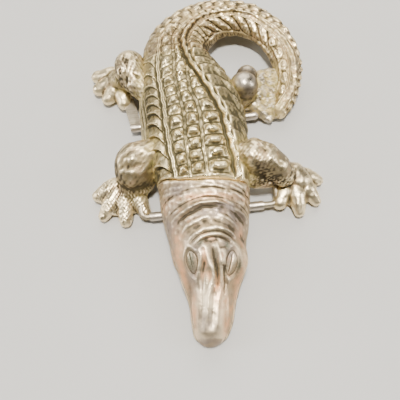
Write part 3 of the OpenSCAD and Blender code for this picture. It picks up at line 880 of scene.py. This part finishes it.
def build_leg(name, form, slot):
    """One leg, grown from its limbs, toes and webs."""
    points, faces = [], []
    paths = form["limbs"] + [toe_path(base, tip) for base, tip in form["toes"]]
    paths += [web_path(*web) for web in zip(form["toes"], form["toes"][1:], form["notches"])]
    for path in paths:
        strand(points, faces, path)
    skin, quads = merged(points, faces)
    top = smooth(skin[:, 2], 5.0, 7.5)
    relief = form["relief"](skin, top, 1 - top)
    skin = cut_flat(skin + skin_normals(skin, quads) * relief[:, None])
    piece = new_piece(name + "_cast", skin, quads, [name], slot)
    # Painted light on the upper legs: brighter where they face up, painted shade on their sides. The feet,
    # below about 3.5 to 6 mm, are brighter.
    facing_up = smooth(skin_normals(skin, quads)[:, 2], 0.3, 0.85)
    knee = smooth(skin[:, 2], 4, 7)
    worn = 0.75 * drop(skin[:, 2], 3.5, 6) + knee * (0.8 * facing_up - 0.95)
    write_attribute(piece.data, "worn", worn)
    return piece


# ---- materials

class Nodes:
    """Short calls for building one material's nodes."""

    def __init__(self, name):
        self.material = bpy.data.materials.new(name)
        self.material.use_nodes = True
        self.tree = self.material.node_tree
        self.tree.nodes.clear()
        self.shader = self.new("BsdfPrincipled")
        self.put(self.new("OutputMaterial").inputs["Surface"], self.shader.outputs["BSDF"])
        self.place = self.new("TexCoord").outputs["Object"]

    def new(self, kind):
        return self.tree.nodes.new("ShaderNode" + kind)

    def put(self, socket, value):
        """Links an output to an input, or sets the input to a number or a colour."""
        if isinstance(value, bpy.types.NodeSocket):
            self.tree.links.new(value, socket)
        elif hasattr(value, "__len__") and len(value) == 3 and socket.type == "RGBA":
            socket.default_value = (*value, 1)
        else:
            socket.default_value = value

    def fill(self, node, inputs):
        """Sets a node's inputs, by their names or numbers."""
        for key, value in inputs.items():
            self.put(node.inputs[key], value)
        return node

    def math(self, how, a, b, clamp=False):
        node = self.new("Math")
        node.operation = how
        node.use_clamp = clamp
        return self.fill(node, {0: a, 1: b}).outputs[0]

    def times(self, a, b):
        return self.math("MULTIPLY", a, b)

    def weighted(self, *terms):
        """The sum of (value, weight) terms."""
        products = [self.times(value, weight) for value, weight in terms]
        total = products[0]
        for product in products[1:]:
            total = self.math("ADD", total, product)
        return total

    def scaled(self, value, from_low, from_high, to_low=0.0, to_high=1.0):
        """A value taken from one range to another, with a soft step."""
        node = self.new("MapRange")
        node.interpolation_type = "SMOOTHSTEP"
        self.fill(node, {"Value": value, "From Min": from_low, "From Max": from_high})
        return self.fill(node, {"To Min": to_low, "To Max": to_high}).outputs[0]

    def noise(self, size_mm, detail, stretch=(1, 1, 1), turn=0.0):
        """Noise with lumps of about size_mm."""
        mapping = self.new("Mapping")
        self.fill(mapping, {"Scale": stretch, "Rotation": (0, 0, turn), "Vector": self.place})
        node = self.fill(self.new("TexNoise"), {"Vector": mapping.outputs[0], "Scale": 1 / (size_mm * MM)})
        return self.fill(node, {"Detail": detail, "Roughness": 0.55}).outputs["Fac"]

    def attribute(self, name):
        node = self.new("Attribute")
        node.attribute_name = name
        return node.outputs["Fac"]

    def mix(self, factor, a, b):
        node = self.new("Mix")
        node.data_type = "RGBA"
        return self.fill(node, {"Factor": factor, 6: a, 7: b}).outputs[2]

    def bump(self, height, distance_mm, strength, base=None):
        inputs = {"Strength": strength, "Distance": distance_mm * MM, "Height": height}
        if base:
            inputs["Normal"] = base
        return self.fill(self.new("Bump"), inputs).outputs[0]

    def finish(self, colour, roughness, metallic, normal):
        inputs = {"Base Color": colour, "Roughness": roughness, "Metallic": metallic, "Normal": normal}
        self.fill(self.shader, inputs)
        return self.material


GREEN_TARNISH = (0.13, 0.15, 0.105)
PALE_DIRT, DARK_DIRT = (0.68, 0.53, 0.22), (0.36, 0.31, 0.1)


def cast_silver(name, bright, middle, dark, dark_amount, warm, cool, gloss):
    """Old cast silver: bright where it is rubbed, dark in the hollows, with dirt and stains, and with painted
    highlight and painted shade from the wear mark.
    """
    n = Nodes(name)
    cloud, speck = n.noise(2.6, 4), n.noise(0.45, 3)
    # The wear mark subtracted here is partly real wear and partly painted light: painted highlight on tops
    # and along the crest, painted shade on steep sides and flanks.
    patina_and_painted_light = n.weighted((n.attribute("fine_hollow"), 0.6), (n.attribute("broad_hollow"), 0.75), (cloud, 0.35),
                      (speck, 0.2), (n.attribute("worn"), -0.45))
    tarnish_and_painted_shade = n.scaled(patina_and_painted_light, 1.3 - dark_amount * 0.6, 1.62 - dark_amount * 0.5)
    rubbed_and_painted_highlight = n.scaled(patina_and_painted_light, 0.92, 0.6)
    colour = n.mix(n.scaled(n.noise(3.4, 4), 0.45, 0.7, 0, 0.55), middle, cool)
    colour = n.mix(n.scaled(n.noise(2.9, 4, turn=1.0), 0.5, 0.72, 0, 0.6), colour, warm)
    colour = n.mix(rubbed_and_painted_highlight, colour, bright)
    haze = n.scaled(n.noise(2.2, 4), 0.32, 0.62, 0.35, 1.0)
    specks = n.scaled(speck, 0.35, 0.6, 0.35, 0.95)
    tints = (("mauve_and_painted_shade", haze, cool), ("blush", haze, warm), ("green", specks, GREEN_TARNISH))
    for mark, amount, tint in tints:
        colour = n.mix(n.times(n.attribute(mark), amount), colour, tint)
    # This dark mix carries the patina in the hollows and also the painted shade of the wear mark.
    colour = n.mix(tarnish_and_painted_shade, colour, dark)
    dirt = n.times(n.attribute("residue"), n.scaled(n.noise(1.3, 4), 0.35, 0.62, 0.15, 0.9))
    colour = n.mix(dirt, colour, n.mix(n.scaled(n.noise(1.0, 3), 0.4, 0.65), PALE_DIRT, DARK_DIRT))
    rough = n.scaled(patina_and_painted_light, 0.6, 1.25, gloss, gloss + 0.24)
    rough = n.math("ADD", rough, n.scaled(cloud, 0.3, 0.7, -0.03, 0.14))
    rough = n.math("ADD", rough, n.times(dirt, 0.3), clamp=True)
    metallic = n.math("SUBTRACT", 0.96, n.weighted((dirt, 0.45), (tarnish_and_painted_shade, 0.25)))
    scratch = n.noise(0.5, 2, stretch=(0.12, 1.0, 1.0), turn=0.5)
    normal = n.bump(scratch, 0.012, 0.5, base=n.bump(speck, 0.07, 0.7))
    return n.finish(colour, rough, metallic, normal)


def worked_silver(name, colour, dark, gloss, brush, size):
    """Sheet or wire silver with fine scratches along the way it was worked, and grey tarnish."""
    n = Nodes(name)
    cloud = n.noise(3.2, 4)
    scratch = n.noise(size, 3, stretch=brush)
    shade = n.mix(n.scaled(cloud, 0.4, 0.72, 0.1, 0.6), colour, dark)
    shade = n.mix(n.scaled(scratch, 0.35, 0.75, 0, 0.35), shade, dark)
    rough = n.math("ADD", n.scaled(cloud, 0.3, 0.7, gloss, gloss + 0.16), n.scaled(scratch, 0.3, 0.7, 0, 0.1))
    normal = n.bump(n.noise(0.9, 3), 0.04, 0.35, base=n.bump(scratch, 0.02, 0.5))
    return n.finish(shade, rough, 1.0, normal)


# By slot: name, bright, middle and dark colour, how much is dark, warm and cool stains, roughness
CAST_SILVERS = {
    "torso_silver": ("cast_silver_torso", (0.92, 0.78, 0.46), (0.38, 0.31, 0.165), (0.088, 0.074, 0.036),
                     0.45, (0.44, 0.32, 0.14), (0.25, 0.215, 0.15), 0.26),
    "tail_silver": ("cast_silver_tail", (0.95, 0.77, 0.45), (0.45, 0.34, 0.17), (0.085, 0.063, 0.03), 0.46,
                    (0.6, 0.38, 0.19), (0.27, 0.23, 0.2), 0.27),
    "head_silver": ("cast_silver_head", (0.96, 0.79, 0.53), (0.47, 0.365, 0.225), (0.09, 0.072, 0.045), 0.45,
                    (0.88, 0.5, 0.27), (0.33, 0.265, 0.225), 0.36),
    "leg_silver": ("cast_silver_leg", (0.98, 0.82, 0.52), (0.36, 0.285, 0.16), (0.06, 0.047, 0.026), 0.56,
                   (0.66, 0.44, 0.26), (0.27, 0.23, 0.19), 0.3),
    "polished_leg_silver": ("cast_silver_polished", (0.6, 0.53, 0.43), (0.2, 0.165, 0.12),
                            (0.05, 0.04, 0.027), 0.5, (0.34, 0.24, 0.14), (0.2, 0.17, 0.14), 0.3),
}
# By slot: name, colour, dark colour, roughness, stretch and size of the scratches
WORKED_SILVERS = {
    "plate_silver": ("sheet_silver", (0.52, 0.46, 0.36), (0.14, 0.12, 0.08), 0.38, (0.2, 1, 1), 0.5),
    "wire_silver": ("wire_silver", (0.62, 0.54, 0.4), (0.2, 0.165, 0.11), 0.4, (0.1, 1, 1), 0.3),
    "bar_silver": ("bar_silver", (0.74, 0.66, 0.56), (0.26, 0.22, 0.17), 0.3, (0.1, 1, 1), 0.3),
    "clasp_silver": ("clasp_silver", (0.66, 0.64, 0.59), (0.24, 0.22, 0.19), 0.3, (1, 0.08, 1), 0.3),
    "spring_steel": ("spring_steel", (0.6, 0.6, 0.61), (0.25, 0.25, 0.26), 0.2, (1, 0.08, 1), 0.3),
    "rivet_silver": ("rivet_silver", (0.8, 0.77, 0.72), (0.32, 0.3, 0.26), 0.25, (1, 1, 1), 0.4),
}
MATERIALS = {slot: cast_silver(*looks) for slot, looks in CAST_SILVERS.items()}
MATERIALS.update({slot: worked_silver(*looks) for slot, looks in WORKED_SILVERS.items()})


# ---- the castings

# Soft spots of colour on the head, as (v, w, reach along v, reach along w): peach on the cheeks and the
# snout's sides, mauve on the skull and the neck, and green in the creases. The mauve spot at the snout's tip,
# v = 0, is painted shade.
HEAD_TINTS = {
    "blush": [
        (21, -7.6, 3.2, 1.6), (15, -7.2, 3, 1.3), (7.5, -4.2, 3.6, 1.3), (9.5, 3.0, 3, 1.6),
        (13, 7.6, 4, 1.6), (31, 0, 0.8, 7), (4.5, 4.5, 2.5, 1.4), (17, -0.9, 2, 0.6), (22, 8.6, 2.5, 1.5),
        (11, 1.2, 2.4, 0.6),
    ],
    "mauve_and_painted_shade": [
        (26, -9.5, 4, 3), (20, -2.6, 2, 1.6), (27, 2, 1.2, 5), (18, 4.8, 1.6, 2), (12.5, -4.2, 4, 1.8),
        (25, 7.5, 4, 3), (4, -0.6, 2.4, 2.4), (0, 0, 1.2, 12), (33, -6, 2, 4), (20.5, 4.4, 1.4, 1.6),
        (28.5, 2, 0.8, 6),
    ],
    "green": [
        (16.8, -4.1, 2.4, 1.2), (16, 1.4, 3.2, 0.6), (13.6, 3.5, 2.6, 0.5), (16.2, 6.6, 2.2, 0.7),
        (22.7, 1.6, 0.35, 2.6), (20.6, -1.6, 1, 0.8), (19.6, 4.2, 1, 0.7),
    ],
}


def even_rows(start, end, pitch):
    """Rows from start to end, evenly spaced at about pitch."""
    return np.linspace(start, end, int(round((end - start) / pitch)) + 1)


def cap_rows(cap, count):
    """Rows over a round end, closer together towards the very end."""
    return cap * np.sin(np.linspace(0, math.pi / 2, count)[1:])


def skin_rows(rows, columns):
    """A grid of v from rows. The first rows of the torso follow its edge over the neck."""
    w = np.linspace(17, -17, columns)
    lean = drop(rows, LIP_V, 46)[:, None]
    return rows[:, None] + (torso_start(w) - LIP_V)[None, :] * lean


def body_wear_and_painted_light(v, w, height, outer):
    """Where handling has kept the torso and the tail bright, and below 0 on their steep sides and flanks,
    which is painted shade.
    """
    worn = crest_wear_and_painted_light(v, w) + 0.65 * smooth(height, 0.45, 1.15) - 0.06 + 0.2 * smooth(v, 56, 68)
    # Painted shade: darker wherever the skin turns steep, away from facing up.
    worn = worn - 0.7 * drop(grid_normals(outer)[..., 2], 0.4, 0.88)
    return worn + 0.2 * smooth(v, 108, 122) + 0.5 * drop(v - torso_start(w), 0.3, 1.4)


def build_body():
    """The torso and the tail are one skin, cut at the hips."""
    torso_rows = even_rows(LIP_V, HIPS_V, 0.15)
    tail_end = TIP_V - TAIL_CAP
    tail_rows = np.concatenate([even_rows(HIPS_V, tail_end, 0.21), tail_end + cap_rows(TAIL_CAP, 12)])
    grid = skin_rows(np.concatenate([torso_rows, tail_rows[1:]]), 251)
    outer, w, height = grid_on_body(grid, body_relief)
    worn = body_wear_and_painted_light(grid, w, height, outer)
    cut = len(torso_rows)
    torso = cast_shell("torso_cast", grid[:cut], outer[:cut], 36.5, HIPS_V - 1.2, {"worn": worn[:cut]},
                       ["torso_shell"], "torso_silver")
    tail = cast_shell("tail_cast", grid[cut - 1:], outer[cut - 1:], HIPS_V + 1.2, TIP_V - 10,
                      {"worn": worn[cut - 1:]}, ["tail"], "tail_silver")
    return torso, tail


def snout_wear_and_painted_light(v, w):
    """Brighter on the top of the snout, partly wear and partly a painted highlight, and below 0 at its tip as
    painted shade.
    """
    bright = drop(v, 9, 15) * drop(np.abs(w + 0.3), 2.6, 6) * smooth(v, 1.2, 2.2)
    return 0.95 * bright - 0.3 * drop(v, 0.4, 1.9)


def patches(v, w, spots):
    """Soft spots of colour at places v and w, from 0 to 1."""
    total = np.zeros_like(v)
    for middle, side, long_reach, wide_reach in spots:
        total += bell(v - middle, long_reach) * bell(w - side, wide_reach)
    return np.clip(total, 0, 1)


def build_head():
    """The neck, the skull and the snout are one skin."""
    rows = np.concatenate([SNOUT_CAP - cap_rows(SNOUT_CAP, 22)[::-1], even_rows(SNOUT_CAP, NECK_V, 0.15)])
    grid = np.repeat(rows[:, None], 221, 1)
    outer, w, _ = grid_on_body(grid, head_relief)
    marks = {name: patches(grid, w, spots) for name, spots in HEAD_TINTS.items()}
    # Painted shade: the head's steep sides get a darker colour.
    marks["worn"] = snout_wear_and_painted_light(grid, w) - 0.3 * drop(grid_normals(outer)[..., 2], 0.3, 0.85)
    return cast_shell("head_cast", grid, outer, 6.0, NECK_V - 1.2, marks, ["head_shell"], "head_silver")


def build_legs():
    """The four legs, with the polished one at the rear right."""
    slots = dict.fromkeys(LEGS, "leg_silver") | {"leg_rear_right": "polished_leg_silver"}
    return [build_leg(name, form, slots[name]) for name, form in LEGS.items()]


def mark_residue(bodies, legs):
    """Dirt gathers where the legs meet the body: residue is 1 at the neighbour's surface and fades out."""
    reach = 2.4 * MM
    pieces = bodies + legs
    trees = {}
    for piece in pieces:
        points = [v.co.copy() for v in piece.data.vertices]
        trees[piece.name] = BVHTree.FromPolygons(points, [list(p.vertices) for p in piece.data.polygons])
        write_attribute(piece.data, "residue", np.zeros(len(points)))
    for piece in pieces:
        points = read_array(piece.data.vertices, "co", 3)
        residue = np.zeros(len(points))
        for other in bodies if piece in legs else legs:
            corners = read_array(other.data.vertices, "co", 3)
            close = ((points > corners.min(0) - reach) & (points < corners.max(0) + reach)).all(1)
            for index in np.flatnonzero(close):
                distance = trees[other.name].find_nearest(Vector(points[index]), reach)[3]
                if distance is not None:
                    residue[index] = max(residue[index], 1 - distance / reach)
        if piece in legs:
            residue = np.maximum(residue, stain(points, LEGS[piece.name.removesuffix("_cast")]["stains"]))
        write_attribute(piece.data, "residue", residue)


def stain(points, spots):
    """Soft balls of dirt, each (x, y, z, reach)."""
    total = np.zeros(len(points))
    for *middle, reach in spots:
        away = np.linalg.norm(points / MM - SHIFT - middle, axis=1)
        total += 0.9 * bell(away, reach)
    return np.clip(total, 0, 1)


torso, tail = build_body()
head = build_head()
legs = build_legs()
mark_residue([torso, tail, head], legs)


# ---- carried metal parts

def dress_cad_nodes():
    """Gives each CAD node that still shows the material of its slot."""
    slots = {part["node"]: part["material_slot"] for part in frame["record"]["subparts"]}
    for name, obj in frame["nodes"].items():
        if obj.hide_render:
            continue
        obj.data.materials.clear()
        obj.data.materials.append(MATERIALS[slots[name]])


dress_cad_nodes()


# ---- floor, light and camera

def build_floor():
    """A pale floor, which is only staging."""
    bpy.ops.mesh.primitive_plane_add(size=12)
    floor = bpy.context.object
    floor.name = "floor"
    n = Nodes("pale_floor")
    colour = n.mix(n.noise(40, 3), (0.54, 0.538, 0.53), (0.58, 0.578, 0.57))
    n.finish(colour, 0.6, 0.0, n.bump(n.noise(2, 3), 0.02, 0.2))
    floor.data.materials.append(n.material)


def softbox(name, place, size, power, colour):
    """A rectangular light that faces the origin."""
    light = bpy.data.lights.new(name, "AREA")
    light.shape = "RECTANGLE"
    light.size, light.size_y = size
    light.energy = power
    light.color = colour
    obj = add_object(name, light)
    obj.location = Vector(place)
    obj.rotation_euler = (-Vector(place)).to_track_quat("-Z", "Y").to_euler()


def build_world():
    """A grey studio, palest at the horizon."""
    world = bpy.data.worlds.new("studio")
    bpy.context.scene.world = world
    world.use_nodes = True
    tree = world.node_tree
    background = tree.nodes["Background"]
    direction = tree.nodes.new("ShaderNodeTexCoord")
    height = tree.nodes.new("ShaderNodeSeparateXYZ")
    ramp = tree.nodes.new("ShaderNodeValToRGB")
    ramp.color_ramp.elements[0].position = 0.02
    ramp.color_ramp.elements[0].color = (0.27, 0.265, 0.255, 1)
    ramp.color_ramp.elements[1].position = 0.42
    ramp.color_ramp.elements[1].color = (0.052, 0.051, 0.049, 1)
    tree.links.new(direction.outputs["Generated"], height.inputs[0])
    tree.links.new(height.outputs["Z"], ramp.inputs["Fac"])
    tree.links.new(ramp.outputs["Color"], background.inputs["Color"])
    background.inputs["Strength"].default_value = 1.0


def build_camera():
    """Looks down at 64 degrees from the front, rolled a little."""
    camera = bpy.data.cameras.new("camera")
    camera.lens = 43.2
    camera.sensor_width = 36
    camera.clip_start = 0.005
    obj = add_object("camera", camera)
    rise, roll, distance = math.radians(64), math.radians(6), 0.1216
    target = Vector((-0.0025, -0.0128, 0))
    forward = Vector((0, math.cos(rise), -math.sin(rise)))
    up, right = Vector((0, math.sin(rise), math.cos(rise))), Vector((1, 0, 0))
    x_axis = right * math.cos(roll) - up * math.sin(roll)
    y_axis = right * math.sin(roll) + up * math.cos(roll)
    turn = Matrix((x_axis, y_axis, -forward)).transposed().to_4x4()
    obj.matrix_world = Matrix.Translation(target - forward * distance) @ turn
    bpy.context.scene.camera = obj


build_floor()
softbox("lamp", (0.04, -0.14, 2.0), (0.34, 0.34), 66, (1, 0.95, 0.86))
softbox("ceiling", (0, 0.7, 1.84), (1.3, 1.3), 9, (1, 0.97, 0.9))
softbox("rear", (0.12, 1.5, 1.15), (2.0, 0.9), 27, (1, 0.95, 0.85))
softbox("left", (-1.6, 0.16, 0.8), (0.32, 1.0), 16, (1, 0.98, 0.95))
softbox("right", (1.6, -0.24, 0.88), (0.32, 0.8), 13, (1, 0.97, 0.92))
build_world()
build_camera()
